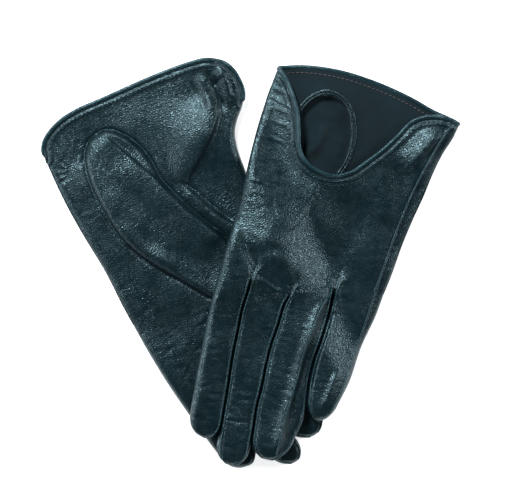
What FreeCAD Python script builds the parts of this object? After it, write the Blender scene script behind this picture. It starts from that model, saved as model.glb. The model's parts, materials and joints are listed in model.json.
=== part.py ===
"""A pair of leather driving gloves, laid one across the other on a table.

The right glove lies palm up on the table and the left glove lies back up across it. Each glove has its own
flat frame: x runs from the thumb's side to the little finger's side, y towards the cuff, and the knuckles
are near y = 0. Every leather piece is padded from its plan outline between two depths, and a depth is
counted from the outer face of the palm (0) towards the outer face of the back (glove_height).
"""

import FreeCAD, Part
import math
import os

import Sketcher

V = FreeCAD.Vector

# Driving dimensions, in millimetres and degrees.
SIZES = {
    "leather": 0.8,              # thickness of the glove leather
    "glove_height": 7.2,         # palm outside to back outside of an empty glove
    "binding_height": 1.4,       # thickness of the bound cuff edge
    "binding_width": 2.6,
    "thumb_height": 6.0,         # the thumb, lying on the palm
    "layer_gap": 0.3,            # between one layer of the pile and the next
    "skin_play": 0.05,           # between pieces that are sewn face to face
    "knuckle_gap": 0.5,          # between the hand and each finger, where they bend
    "knuckle_line": 2.0,         # y of the line where the fingers bend back
    "thumb_centre_across": 32.5,
    "thumb_centre_along": 88.0,
    "thumb_hole_half_width": 15.5,
    "thumb_hole_half_length": 24.0,
    "thumb_base_overlap": 1.5,   # how far the thumb's base reaches past the hole in the palm
    "thumb_half_width": 14.0,
    "thumb_tip_half_width": 11.5,
    "thumb_reach": 76.0,         # from the thumb's centre to its tip
    "welt_width": 1.8,           # seam allowance round the thumb hole, inside the palm
    "welt_height": 0.8,
    "right_turn": 30.6,          # how each glove is turned on the table, seen from above
    "left_turn": -13.1,
    "right_across": -49.78,       # where each glove's own origin lies on the table
    "right_along": -42.68,
    "left_across": -14.78,
    "left_along": -11.28,
}

# Each finger: name, centre and half width at the knuckles, half width at the tip, how far the tip reaches
# past the knuckles, and how much the finger leans towards the little finger in the right and left glove.
FINGERS = [
    ("index", 4.3, 8.3, 8.0, 79.0, 3.8, 2.1),
    ("middle", 22.9, 9.5, 8.2, 89.0, 6.5, 1.1),
    ("ring", 44.6, 11.4, 9.8, 82.0, 4.7, -0.6),
    ("little", 68.9, 12.1, 7.4, 56.0, 0.1, -5.4),
]
# Where the slits between the fingers end, above the knuckle line: name, x, y and half width there.
CROTCHES = [
    ("index_middle", 13.2, 10.6, 1.2),
    ("middle_ring", 33.4, 7.0, 1.2),
    ("ring_little", 56.6, 14.8, 2.2),
]

# The plan of the hand: the folded edge on the thumb's side and the sewn edge on the little finger's side.
FOLD_EDGE = [(-4.0, 2.25), (-1.6, 50.0), (-1.3, 88.0), (2.0, 119.5)]
SEWN_EDGE = [(101.0, 112.2), (93.5, 85.0), (86.3, 45.0), (81.0, 2.25)]
# Cuff edges, from the thumb's side to the little finger's: the palm's gentle arch and the back's deep scoop.
PALM_CUFF = [(2.0, 119.5), (31.0, 124.7), (53.0, 123.4), (75.0, 118.6), (101.0, 112.2)]
BACK_SCOOP = [(2.0, 119.5), (13.0, 107.0), (20.0, 90.0), (28.0, 74.7), (41.0, 71.0), (52.0, 75.0),
              (65.8, 91.0), (76.4, 106.0), (86.0, 112.0), (100.5, 112.8)]

# Each glove: which way up it lies, and how much its thumb leans towards the little finger.
GLOVES = [("right", True, 15.0), ("left", False, -16.0)]

doc = FreeCAD.newDocument("driving_gloves")
sheet = doc.addObject("Spreadsheet::Sheet", "Sizes")
for row, (alias, value) in enumerate(SIZES.items(), start=1):
    sheet.set(f"A{row}", alias)
    sheet.set(f"B{row}", str(value))
    sheet.setAlias(f"B{row}", alias)
doc.recompute()


def size(alias):
    """A driving dimension, read back from the sheet."""
    return float(getattr(sheet, alias))


# ---------------------------------------------------------------- outlines


def polygon(points):
    corners = [V(x, y, 0) for x, y in points]
    return [Part.LineSegment(a, b) for a, b in zip(corners, corners[1:] + corners[:1])]


def smooth(points):
    """A smooth curve through the points."""
    curve = Part.BSplineCurve()
    curve.interpolate([V(x, y, 0) for x, y in points])
    return curve


def inset(points, distance):
    """The same smooth curve, moved square to itself towards the fingers."""
    curve = smooth(points)
    moved = []
    for x, y in points:
        slope = curve.tangent(curve.parameter(V(x, y, 0)))[0]
        moved.append((x + slope.y * distance, y - slope.x * distance))
    return moved


def between(upper, lower):
    """The band between two smooth curves that run the same way."""
    ends = [Part.LineSegment(V(*upper[-1], 0), V(*lower[-1], 0)),
            Part.LineSegment(V(*lower[0], 0), V(*upper[0], 0))]
    return [smooth(upper), ends[0], smooth(lower[::-1]), ends[1]]


def tongue(centre, start, half_root, half_tip, length, lean):
    """A finger's plan: a square root at (centre, start), straight sides that lean, and a round tip."""
    turned = math.radians(lean)
    along, across = V(math.sin(turned), -math.cos(turned), 0), V(math.cos(turned), math.sin(turned), 0)
    root = V(centre, start, 0)
    shoulder = root + along * (length - half_tip)
    root_left, root_right = root - V(half_root, 0, 0), root + V(half_root, 0, 0)
    tip_left, tip_right = shoulder - across * half_tip, shoulder + across * half_tip
    return [Part.LineSegment(root_left, tip_left), Part.Arc(tip_left, root + along * length, tip_right),
            Part.LineSegment(tip_right, root_right), Part.LineSegment(root_right, root_left)]


def oval(grow):
    """An ellipse that is longer than it is wide, bigger than the thumb hole by grow all round."""
    ellipse = Part.Ellipse(V(0, 0, 0), size("thumb_hole_half_length") + grow,
                           size("thumb_hole_half_width") + grow)
    ellipse.rotate(FreeCAD.Placement(V(0, 0, 0), FreeCAD.Rotation(V(0, 0, 1), 90)))
    return [ellipse]


# ---------------------------------------------------------------- sub-parts


class Piece:
    """One sub-part: a body whose layers are padded and pocketed between two depths of its glove."""

    def __init__(self, glove, name):
        self.side, self.palm_up = glove[0], glove[1]
        self.body = doc.addObject("PartDesign::Body", f"{self.side}_{name}")
        self.body.Label = f"{self.side}_{name}"
        self.plane = next(f for f in self.body.Origin.OriginFeatures if f.Role == "XY_Plane")
        self.count = 0

    def heights(self, low, high):
        """The heights above the table, as expressions, of two depths given as expressions."""
        if self.palm_up:
            return f"Sizes.glove_height - ({high})", f"Sizes.glove_height - ({low})"
        base = "Sizes.glove_height + 2 * Sizes.layer_gap + Sizes.thumb_height"
        return f"{base} + ({low})", f"{base} + ({high})"

    def layer(self, kind, outline, low, high, at=(0.0, 0.0)):
        bottom, top = self.heights(low, high)
        self.count += 1
        label = f"{self.body.Name}_{kind.lower()}_{self.count}"
        sketch = self.body.newObject("Sketcher::SketchObject", f"{label}_outline")
        sketch.AttachmentSupport = [(self.plane, "")]
        sketch.MapMode = "FlatFace"
        sketch.AttachmentOffset = FreeCAD.Placement(V(at[0], at[1], 0), FreeCAD.Rotation())
        sketch.setExpression("AttachmentOffset.Base.z", bottom if kind == "Pad" else top)
        for curve in outline:
            sketch.addGeometry(curve, False)
        if len(outline) > 1:
            for i in range(len(outline)):
                sketch.addConstraint(Sketcher.Constraint("Coincident", i, 2, (i + 1) % len(outline), 1))
        feature = self.body.newObject(f"PartDesign::{kind}", label)
        feature.Profile = sketch
        feature.setExpression("Length", f"({top}) - ({bottom})")
        sketch.Visibility = False

    def pad(self, outline, low, high, **place):
        """Adds leather, from one depth to another."""
        self.layer("Pad", outline, low, high, **place)
        return self

    def pocket(self, outline, low, high, **place):
        """Takes leather away, from one depth to another, and checks that it was there."""
        doc.recompute()
        before = self.body.Shape.Volume
        self.layer("Pocket", outline, low, high, **place)
        doc.recompute()
        if self.body.Shape.Volume > before - 1:
            raise SystemExit(f"{self.body.Label}: pocket {self.count} took nothing away")
        return self


OUTSIDE = ("0", "Sizes.glove_height")
CAVITY = ("Sizes.leather", "Sizes.glove_height - Sizes.leather")
LINING = ("Sizes.leather + Sizes.skin_play", "Sizes.glove_height - Sizes.leather - Sizes.skin_play")


def trank_hand(glove):
    """The hand of the trank: one sleeve of palm, back and folded edge, open at the cuff and the knuckles."""
    wall, width = size("leather"), size("binding_width")
    cuff, scoop = inset(PALM_CUFF, width), inset(BACK_SCOOP, width)
    outline = [smooth(FOLD_EDGE[:-1] + [cuff[0]]), smooth(cuff), smooth([cuff[-1]] + SEWN_EDGE[1:]),
               Part.LineSegment(V(*SEWN_EDGE[-1], 0), V(*FOLD_EDGE[0], 0))]
    past = 30.0
    left = [(x + wall, y) for x, y in FOLD_EDGE]
    right = [(x - wall, y) for x, y in SEWN_EDGE]
    inside = polygon([(left[0][0], -past)] + left + [(left[-1][0], left[-1][1] + past),
                                                     (right[0][0], right[0][1] + past)]
                     + right + [(right[-1][0], -past)])
    above = [(scoop[0][0] - past, scoop[0][1])] + scoop + [(scoop[-1][0] + past, scoop[-1][1])]
    corners = [above[-1], (above[-1][0], above[-1][1] + past), (above[0][0], above[0][1] + past), above[0]]
    sides = [Part.LineSegment(V(*a, 0), V(*b, 0)) for a, b in zip(corners, corners[1:])]
    lead_in = Part.LineSegment(V(*above[0], 0), V(*scoop[0], 0))
    lead_out = Part.LineSegment(V(*scoop[-1], 0), V(*above[-1], 0))
    piece = Piece(glove, "trank_hand").pad(outline, *OUTSIDE)
    piece.pocket(inside, *CAVITY)
    piece.pocket([lead_in, smooth(scoop), lead_out] + sides, "Sizes.glove_height / 2",
                 "Sizes.glove_height + 1")
    piece.pocket(oval(0), "-1", "Sizes.glove_height / 2", at=thumb_centre())
    return piece


def thumb_centre():
    return size("thumb_centre_across"), size("thumb_centre_along")


def cuff_bindings(glove):
    """The bound edge of the palm's cuff and of the scoop in the back."""
    width = size("binding_width")
    palm = Piece(glove, "palm_cuff_binding")
    palm.pad(between(PALM_CUFF, inset(PALM_CUFF, width)), "0", "Sizes.binding_height")
    back = Piece(glove, "back_cuff_binding")
    back.pad(between(BACK_SCOOP, inset(BACK_SCOOP, width)), "Sizes.glove_height - Sizes.binding_height",
             "Sizes.glove_height")
    return [palm, back]


def thumb_welt(glove):
    """The seam allowance round the thumb hole, turned to the inside of the palm."""
    welt = Piece(glove, "thumb_seam_welt")
    low = "Sizes.leather + Sizes.skin_play"
    welt.pad(oval(size("welt_width")), low, f"{low} + Sizes.welt_height", at=thumb_centre())
    welt.pocket(oval(0), "0", "Sizes.glove_height / 2", at=thumb_centre())
    return welt


def gusset(glove, label, x, y, half):
    """Where two fourchette legs meet at the end of a slit, between the palm and the back."""
    start = size("knuckle_line") + size("knuckle_gap") / 2
    wedge = Piece(glove, f"{label}_gusset")
    wedge.pad(polygon([(x - half, start), (x + half, start), (x + half / 3, y), (x - half / 3, y)]), *LINING)
    return wedge


def finger(glove, label, centre, half_root, half_tip, length, lean_right, lean_left):
    """One finger: its part of the trank, joined over the tip, and the fourchette legs along its sides."""
    wall = size("leather")
    start = size("knuckle_line") - size("knuckle_gap") / 2
    lean = lean_right if glove[1] else lean_left
    outer = tongue(centre, start, half_root, half_tip, length, lean)
    inner = tongue(centre, start, half_root - wall, half_tip - wall, length - wall, lean)
    past = 2.0
    skin = Piece(glove, f"{label}_finger").pad(outer, *OUTSIDE).pocket(inner, *CAVITY)
    pieces = [skin]
    for side, outside, inside, facing in ((-1, outer[0], inner[0], "thumb"), (1, outer[2], inner[2], "little")):
        if (label, facing) in (("index", "thumb"), ("little", "little")):
            continue
        ends = [outside.StartPoint, outside.EndPoint, inside.EndPoint, inside.StartPoint]
        leg = Piece(glove, f"{label}_fourchette_{facing}_side")
        leg.pad(polygon([(p.x, p.y) for p in ends]), *LINING)
        pieces.append(leg)
        skin.pocket(polygon([(p.x + side * shift, p.y) for p, shift in
                             zip(ends, (past, past, -past, -past))]), *CAVITY)
    return pieces


def thumb(glove):
    """The thumb: an oval base over the hole in the palm, and a tube that lies along the palm."""
    wall, half, tip = size("leather"), size("thumb_half_width"), size("thumb_tip_half_width")
    overlap, reach = size("thumb_base_overlap"), size("thumb_reach")
    top = "-Sizes.layer_gap"
    bottom = "-Sizes.layer_gap - Sizes.thumb_height"
    inside = (f"{bottom} + Sizes.leather", f"{top} - Sizes.leather")
    piece = Piece(glove, "thumb").pad(oval(overlap), bottom, top, at=thumb_centre())
    piece.pad(tongue(*thumb_centre(), half, tip, reach, glove[2]), bottom, top)
    piece.pocket(oval(overlap - wall), *inside, at=thumb_centre())
    piece.pocket(tongue(*thumb_centre(), half - wall, tip - wall, reach - wall, glove[2]), *inside)
    piece.pocket(oval(0), f"{top} - Sizes.leather - 0.1", "0", at=thumb_centre())
    return piece


def whole_glove(glove):
    pieces = [trank_hand(glove), thumb_welt(glove), thumb(glove)] + cuff_bindings(glove)
    pieces += [gusset(glove, *crotch) for crotch in CROTCHES]
    for spec in FINGERS:
        pieces += finger(glove, *spec)
    place = FreeCAD.Placement(V(size(f"{glove[0]}_across"), size(f"{glove[0]}_along"), 0),
                              FreeCAD.Rotation(V(0, 0, 1), size(f"{glove[0]}_turn")))
    for piece in pieces:
        piece.body.Placement = place
    return pieces


def main():
    pieces = [piece for glove in GLOVES for piece in whole_glove(glove)]
    doc.recompute()
    failed = [o.Name for o in doc.Objects if "Invalid" in o.State or "Error" in o.State]
    if failed:
        raise SystemExit(f"failed objects: {failed}")
    for piece in pieces:
        shape = piece.body.Shape
        if shape.isNull() or not shape.isValid() or len(shape.Solids) != 1:
            raise SystemExit(f"{piece.body.Label} isn't one valid solid")
    os.makedirs("parts", exist_ok=True)
    box = FreeCAD.BoundBox()
    for piece in pieces:
        box.add(piece.body.Shape.BoundBox)
        piece.body.Shape.exportStep(f"parts/{piece.body.Label}.step")
    print(f"{len(pieces)} parts, x {box.XMin:.2f} {box.XMax:.2f}, y {box.YMin:.2f} {box.YMax:.2f}, "
          f"z {box.ZMin:.2f} {box.ZMax:.2f}")


main()
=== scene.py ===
"""A pair of dark green leather driving gloves, crossed on a pale table.

Lengths in this script are millimetres, and each glove is drawn in its own flat frame: x runs from the
thumb's side to the little finger's side, y towards the cuff, and z up from the table. The frame of each
glove comes from the CAD model's finger joints.
"""

import json
import math

import bpy
import numpy as np
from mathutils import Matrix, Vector


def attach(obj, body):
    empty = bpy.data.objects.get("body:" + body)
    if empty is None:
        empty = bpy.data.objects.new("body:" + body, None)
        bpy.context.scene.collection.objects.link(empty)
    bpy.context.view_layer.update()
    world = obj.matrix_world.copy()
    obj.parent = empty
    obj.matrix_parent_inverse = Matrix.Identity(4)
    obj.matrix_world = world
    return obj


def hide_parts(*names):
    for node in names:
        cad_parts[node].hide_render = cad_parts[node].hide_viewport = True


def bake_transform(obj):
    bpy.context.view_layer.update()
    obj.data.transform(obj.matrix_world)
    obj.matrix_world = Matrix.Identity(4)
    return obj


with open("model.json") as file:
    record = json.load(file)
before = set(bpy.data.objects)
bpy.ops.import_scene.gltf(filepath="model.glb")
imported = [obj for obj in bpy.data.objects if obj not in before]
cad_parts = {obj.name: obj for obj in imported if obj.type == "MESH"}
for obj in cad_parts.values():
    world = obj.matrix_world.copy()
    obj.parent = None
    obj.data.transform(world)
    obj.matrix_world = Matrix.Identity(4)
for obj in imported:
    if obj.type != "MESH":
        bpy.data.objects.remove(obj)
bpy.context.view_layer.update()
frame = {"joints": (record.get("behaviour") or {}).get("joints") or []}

bl_info = {
    "name": "Leather driving gloves",
    "version": (1, 0, 0),
    "blender": (4, 5, 0),
    "location": "View3D > Sidebar > Gloves",
    "description": "Builds a crossed pair of leather driving gloves on its CAD frame",
    "category": "Add Mesh",
}

MM = 0.001

# ---------------------------------------------------------------- the pattern, in each glove's own frame

KNUCKLE = 2.0            # y of the line where the fingers bend
FINGER_ROOT = 17.0       # y where the finger leather takes over from the hand's
INDEX_ROOT = 4.3         # x of the index finger's joint

# The hand's side edges, as (y, x): the folded one on the thumb's side, and the sewn one.
FOLD_EDGE = [(17, -3.1), (26, -2.9), (48, -1.5), (72, -1.7), (88, -1.3), (108, 0.5), (119.5, 2.1)]
SEWN_EDGE = {
    "left": [(17, 82.6), (25, 83.9), (45, 86.3), (58, 88.5), (71, 91.2), (85, 93.5), (95, 95.9),
             (105, 99.4), (112, 101)],
    "right": [(17, 82.6), (25, 83.9), (45, 86.3), (58, 88.5), (70, 91.0), (77, 94.0), (82, 98.5),
              (86, 103.5), (90, 107.0), (96, 109.2), (103, 109.6), (109, 107.8), (114, 104.0)],
}
# The cuff edges, as (x, y) from the thumb's side: the palm's gentle arch and the back's deep scoop.
PALM_CUFF = {
    "left": [(2.1, 119.5), (13, 122.6), (31, 124.7), (53, 123.4), (75, 119), (87, 115.4), (96, 113.6),
             (101, 112)],
    "right": [(1.4, 115.5), (2.6, 119.5), (5.5, 123), (11, 126), (18.7, 128), (27.8, 128.3), (42, 126.6),
              (64.5, 124), (81, 121.5), (92, 119.2), (99, 117), (104, 114)],
}
# The right glove's cuff turns over at its outer corner, and its binding goes on down the corner.
TURNED_CORNER = [(107.2, 110.5), (109.3, 105), (109.5, 98.5), (108.2, 92.5), (105.4, 88.2)]
BACK_SCOOP = [(2.1, 119.5), (8.2, 114), (13, 107), (16.8, 100), (20, 90), (23, 80), (27.5, 74.7),
              (35.7, 71.3), (43.8, 71.1), (51, 74.3), (58.4, 82), (65.8, 91), (71.8, 100), (76.4, 107.5),
              (82.4, 111.5), (90, 113.3), (96.3, 113.2), (101, 112)]
THUMB_HOLE = (32.5, 88.0, 15.5, 24.0)     # centre and half sizes of the oval

# The left glove's long side seam, and the seam of its ring finger's far side, on top of the rolled finger.
SIDE_SEAM = [(97, 110.5), (93.9, 103), (91.0, 94), (86.8, 79), (82.4, 56.5), (79.8, 35.6), (77.7, 12.7),
             (76.1, -3.6), (74.1, -20), (72.2, -36.5), (68.8, -50)]
RING_SEAM = [(55.5, 12), (52, 1.4), (49.9, -12), (48.7, -23), (48.5, -34), (47.8, -45), (47.1, -56),
             (47, -66), (46.8, -77)]

# Finger edges, as (y, x) from root to tip, for the glove that lies back up.
GROOVES = {
    "index_middle": [(17, 13.8), (10.6, 13.5), (3, 13.2), (-8, 12.5), (-18, 12.8), (-32, 13.2), (-45, 14.2),
                     (-58, 15.1), (-77, 16.2)],
    "middle_ring": [(17, 35.0), (6.5, 34.8), (0, 33.2), (-11, 32.5), (-22, 31.3), (-33, 31.1), (-43, 31.5),
                    (-54, 31.3), (-65, 32.1), (-87, 33.4)],
    "ring_little": [(17, 57.2), (14.8, 56.9), (0, 56.9), (-14, 55.9), (-25, 54.7), (-38, 54.9), (-49, 56.3),
                    (-56, 56.4), (-65, 54.6), (-80, 52.0)],
    "little_thumb_side": [(17, 57.2), (0, 57.0), (-14, 56.0), (-25, 54.8), (-38, 55.0), (-48, 56.4),
                          (-54, 58.0)],
    "fold": [(17, -3.1), (4.5, -3.7), (-17, -4.1), (-38, -3.4), (-57, -2.3), (-77, -0.5)],
    "sewn": [(17, 82.6), (5, 81.1), (-12, 77.5), (-32, 75.2), (-45, 71.9), (-54, 70.0)],
}

# The groove between index and middle finger on the palm, which is wider there.
PALM_INDEX_MIDDLE = [(17, 15.5), (2, 16.0), (-16, 17.0), (-30, 16.8), (-45, 16.6), (-60, 16.6), (-87, 17.4)]
# Where the slit above each groove ends, towards the cuff, on the visible side of each glove.
SLITS = {
    "left": {"index_middle": 10.6, "middle_ring": 6.5, "ring_little": 14.8, "little_thumb_side": 14.8},
    "right": {"index_middle": -34.0, "middle_ring": 4.0, "ring_little": 6.0, "little_thumb_side": 6.0},
}
# Each finger: edges as names in the groove table, which sides have a fourchette, tip y, and how long its
# rounded tip is.
FINGERS = {
    "index": (("fold", "index_middle"), (False, True), -76.6, 10.0),
    "middle": (("index_middle", "middle_ring"), (True, True), -87.2, 10.5),
    "ring": (("middle_ring", "ring_little"), (True, True), -80.2, 11.0),
    "little": (("little_thumb_side", "sewn"), (True, False), -54.6, 10.0),
}
# How much further each fingertip of the right glove leans towards the little finger than the left one's.
SPLAY = {"index": 3.0, "middle": 8.0, "ring": 6.5, "little": 5.0}

LOW = 0.3                    # the leather's lowest point over the table
HAND_THICK = 5.6             # from the lower layer to the upper one, in the hand
FINGER_THICK = 6.4
THUMB_THICK = 3.6
LEATHER_THICK = 0.75
THUMB_LEATHER_THICK = 0.5
EDGE_ROUND = 4.5             # radius of the rounding at a folded edge
SEAM_ROUND = 3.4             # radius of the rounding at a finger's sewn edge
EDGE_SHARE = 0.42            # height at which the two layers meet at an edge, as a share of the thickness
THUMB_EDGES = {              # the two edges of each thumb, from the top of its base round to its tip
    "left": (
        [(31.5, 112.0), (24, 109), (19, 101), (17.2, 90), (17.5, 78), (18.5, 66), (17.5, 52), (14, 38),
         (11.5, 27), (12.5, 19), (17, 15.5)],
        [(33.5, 112.0), (41, 109), (46, 101), (48, 90), (47.5, 78), (45, 66), (42, 54), (38, 43), (34, 33),
         (29.5, 23), (23, 16.5)]),
    "right": (
        [(25.5, 111.5), (20.6, 107), (17.0, 99), (14.6, 88), (13.8, 75), (14.3, 60), (17.4, 48), (23, 36),
         (30.2, 23.4), (37.5, 10.5), (43.5, 1.5), (50, -2.0)],
        [(29.0, 112.5), (36.5, 111.8), (43.2, 105), (47.2, 96), (48.6, 86.5), (48.2, 76), (50.2, 66),
         (53.5, 54), (58.0, 42), (62, 31), (63.0, 14), (57, 1.5)]),
}


# ---------------------------------------------------------------- numbers


def smooth(low, high, x):
    """0 before low, 1 after high, and an S between."""
    t = np.clip((np.asarray(x, float) - low) / (high - low), 0, 1)
    return t * t * (3 - 2 * t)


def through(points):
    """A smooth function through (t, value) points, flat past both ends."""
    t, value = np.array(sorted(points), float).T
    slope = np.gradient(value, t)

    def at(x):
        x = np.clip(np.asarray(x, float), t[0], t[-1])
        i = np.clip(np.searchsorted(t, x) - 1, 0, len(t) - 2)
        step = t[i + 1] - t[i]
        s = (x - t[i]) / step
        return ((2 * s**3 - 3 * s**2 + 1) * value[i] + (s**3 - 2 * s**2 + s) * step * slope[i]
                + (3 * s**2 - 2 * s**3) * value[i + 1] + (s**3 - s**2) * step * slope[i + 1])

    return at


def across_at(points):
    """A smooth function of y that gives x on a curve of (x, y) points."""
    return through([(y, x) for x, y in points[::-1]])


def along_path(path):
    """How far along a path each of its points lies, starting at 0."""
    return np.concatenate([[0], np.cumsum(np.linalg.norm(np.diff(path, axis=0), axis=1))])


def smooth_path(points, step=1.0):
    """Points every step millimetres along a smooth curve through the given (x, y) points."""
    p = np.array(points, float)
    gone = along_path(p)
    at = np.linspace(0, gone[-1], max(3, int(gone[-1] / step) + 1))
    return np.stack([through(list(zip(gone, p[:, k])))(at) for k in (0, 1)], axis=1)


def distance(x, y, path):
    """(distance to a path, share of the way along it, which side: +1 left of it) for every point."""
    x, y = np.asarray(x, float), np.asarray(y, float)
    near = np.full(x.shape, 1e9)
    share, side = np.zeros(x.shape), np.ones(x.shape)
    p = np.asarray(path, float)
    length = along_path(p)
    for i, (a, b) in enumerate(zip(p[:-1], p[1:])):
        d = b - a
        s = np.clip(((x - a[0]) * d[0] + (y - a[1]) * d[1]) / max(d @ d, 1e-9), 0, 1)
        away = np.hypot(x - a[0] - s * d[0], y - a[1] - s * d[1])
        closer = away < near
        near = np.where(closer, away, near)
        share = np.where(closer, (length[i] + s * (length[i + 1] - length[i])) / length[-1], share)
        side = np.where(closer, np.sign(d[0] * (y - a[1]) - d[1] * (x - a[0])), side)
    return near, share, side


def fold(x, y, points, height, width, fade=0.2):
    """A long soft ridge, or a crease if height is negative, along a curve, fading out at both ends."""
    near, share, _ = distance(x, y, smooth_path(points, 3.0))
    ends = smooth(0, fade, share) * (1 - smooth(1 - fade, 1, share)) if fade else 1.0
    return height * np.exp(-((near / width) ** 2)) * ends


def pleat(x, y, points, height, sharp, gentle, fade=0.25):
    """A fold with one steep side, to the left of the curve, and one gentle side, to its right."""
    near, share, side = distance(x, y, smooth_path(points, 3.0))
    signed = near * side
    across = np.where(signed > 0, np.exp(-((signed / sharp) ** 2)), np.exp(-((signed / gentle) ** 2)))
    return height * across * smooth(0, fade, share) * (1 - smooth(1 - fade, 1, share))


def wrinkles(x, y, area, count, length, direction, spread, height, seed):
    """Many short creases, scattered over a box (low x, low y, high x, high y) and turned near one direction.

    Each crease is a narrow valley with a lower ridge beside it, and both fade out towards its ends.
    """
    rng = np.random.default_rng(seed)
    total = np.zeros(np.shape(x))
    centres = rng.uniform(area[:2], area[2:], (count, 2))
    for cx, cy in centres:
        turn = math.radians(direction + rng.normal(0, spread))
        reach = length * rng.uniform(0.5, 1.3)
        width = rng.uniform(0.7, 1.1)
        deep = 0.5 * height * rng.uniform(0.3, 1.0)
        bend = rng.normal(0, 0.02)
        along = (x - cx) * math.cos(turn) + (y - cy) * math.sin(turn)
        across = (y - cy) * math.cos(turn) - (x - cx) * math.sin(turn) - bend * along**2
        shape = np.exp(-((along / reach * 2) ** 2)) * deep
        total -= shape * (np.exp(-((across / width) ** 2)) - 0.55 * np.exp(-(((across - 1.3) / 1.1) ** 2)))
    return total


def waves(x, y, size, height, seed):
    """Gentle uneven swelling: a few sine waves in scattered directions, of about the given size."""
    rng = np.random.default_rng(seed)
    total = np.zeros(np.shape(x))
    for _ in range(7):
        turn, phase = rng.uniform(0, 2 * math.pi, 2)
        k = 2 * math.pi / (size * rng.uniform(0.6, 1.7))
        total += np.sin(k * (x * math.cos(turn) + y * math.sin(turn)) + phase)
    return total * height / 2.6


# ---------------------------------------------------------------- the gloves' shapes


def table_frame(side):
    """(origin, x axis, y axis) of a glove on the table, in millimetres, from its finger joints."""
    joints = {j["name"]: j for j in frame["joints"]}
    index, little = (np.array(joints[f"{side}_{f}_fold"]["pos_m"][:2]) / MM for f in ("index", "little"))
    across = (little - index) / np.linalg.norm(little - index)
    along = np.array([-across[1], across[0]])
    return index - across * INDEX_ROOT - along * KNUCKLE, across, along


class Glove:
    """One glove: its frame, its outlines, and the heights of its layers over the table."""

    def __init__(self, side):
        self.side = side
        self.palm_up = side == "right"
        self.origin, self.across, self.along = table_frame(side)
        self.left_edge = through(FOLD_EDGE)
        self.right_edge = through(SEWN_EDGE[side])

    def to_table(self, x, y):
        return (self.origin[0] + self.across[0] * x + self.along[0] * y,
                self.origin[1] + self.across[1] * x + self.along[1] * y)

    def from_table(self, x, y):
        dx, dy = x - self.origin[0], y - self.origin[1]
        return (dx * self.across[0] + dy * self.across[1], dx * self.along[0] + dy * self.along[1])

    def points(self, x, y, z):
        """An array of points in the row frame, in metres."""
        tx, ty = self.to_table(np.asarray(x, float), np.asarray(y, float))
        return np.stack([tx, ty, np.broadcast_to(z, tx.shape)], axis=-1) * MM

    def finger_edges(self, name):
        """Two functions of y: the finger's edges, before its tip is rounded."""
        (low, high), _, tip, _ = FINGERS[name]
        edges = [through(GROOVES[e]) for e in (low, high)]
        if not self.palm_up:
            return edges
        shared = {"index": 1, "middle": 0}.get(name)
        together = (SPLAY["index"] + SPLAY["middle"]) / 2

        def leaning(at, edge):
            """The edge, leaning more and more towards the tip; a shared edge parts only low down."""
            own, start = (SPLAY[name], FINGER_ROOT) if at != shared else (SPLAY[name] - together, -18)
            both = 0 if at != shared else together
            return lambda y: (edge(y) + both * (np.maximum(0, FINGER_ROOT - y) / (FINGER_ROOT - tip)) ** 1.3
                              + own * (np.maximum(0, start - y) / (start - tip)) ** 1.3)

        if shared is not None:
            edges[shared] = through(PALM_INDEX_MIDDLE)
        return [leaning(at, edge) for at, edge in enumerate(edges)]

    def cuff(self, layer):
        """The cuff edge of a layer, palm or back, as points."""
        return PALM_CUFF[self.side] if layer == "palm" else BACK_SCOOP

    def hem_line(self, layer):
        """The bound edge of a layer: its cuff edge and, on the right palm, the turned corner."""
        return self.cuff(layer) + (TURNED_CORNER if self.palm_up and layer == "palm" else [])


LEFT, RIGHT = Glove("left"), Glove("right")


def thumb_line(glove):
    """The middle line of the thumb, without its round ends."""
    low, high = (np.array(e) for e in THUMB_EDGES[glove.side])
    return smooth_path(((low + high) / 2)[2:-2], 3.0)


def support(x, y):
    """Height of what the left glove lies on, at points of its own frame: table, right glove, or thumbs."""
    tx, ty = LEFT.to_table(x, y)
    rx, ry = RIGHT.from_table(tx, ty)
    past_edge = rx - RIGHT.right_edge(np.maximum(ry, 17)) + 0.16 * np.maximum(0, 17 - ry)
    on_right = 1 - smooth(-3, 24, past_edge)
    near_right_thumb = distance(rx, ry, thumb_line(RIGHT))[0]
    near_own_thumb = distance(x, y, thumb_line(LEFT))[0]
    right_thumb = 4.4 * (1 - smooth(11, 34, near_right_thumb))
    own_thumb = 4.3 * (1 - smooth(4, 34, near_own_thumb))
    return 7.9 * on_right + np.maximum(right_thumb, own_thumb)


def lay(glove, x, y):
    """Height of the glove's lower layer over the table."""
    if glove is RIGHT:
        return LOW + np.zeros(np.shape(x))
    return LOW + support(x, y)


# Creased areas of each hand: box, number, length, direction, spread of the direction, height, seed.
WRINKLED = {
    "left": [
        ((-1, 50, 14, 112), 50, 10, -8, 14, 0.3, 11),
        ((0, 16, 22, 60), 50, 8, -8, 30, 0.28, 12),
        ((22, 14, 82, 70), 14, 12, 20, 50, 0.10, 13),
        ((-4, -70, 12, 8), 46, 9, 0, 14, 0.42, 14),
        ((15, -82, 31, 4), 44, 9, 0, 16, 0.40, 15),
        ((34, -76, 52, 6), 38, 9, 2, 18, 0.34, 16),
        ((58, -50, 78, 10), 30, 9, -6, 20, 0.30, 17),
        ((70, 30, 96, 108), 24, 12, 60, 40, 0.16, 18),
    ],
    "right": [
        ((-1, 20, 12, 112), 60, 10, 0, 14, 0.14, 21),
        ((2, 95, 40, 122), 40, 8, 70, 30, 0.24, 22),
        ((50, 30, 100, 116), 20, 12, 40, 50, 0.10, 23),
        ((-4, -70, 40, 14), 60, 9, 0, 20, 0.36, 24),
        ((40, -70, 80, 10), 30, 9, 0, 20, 0.3, 25),
    ],
}


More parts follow.
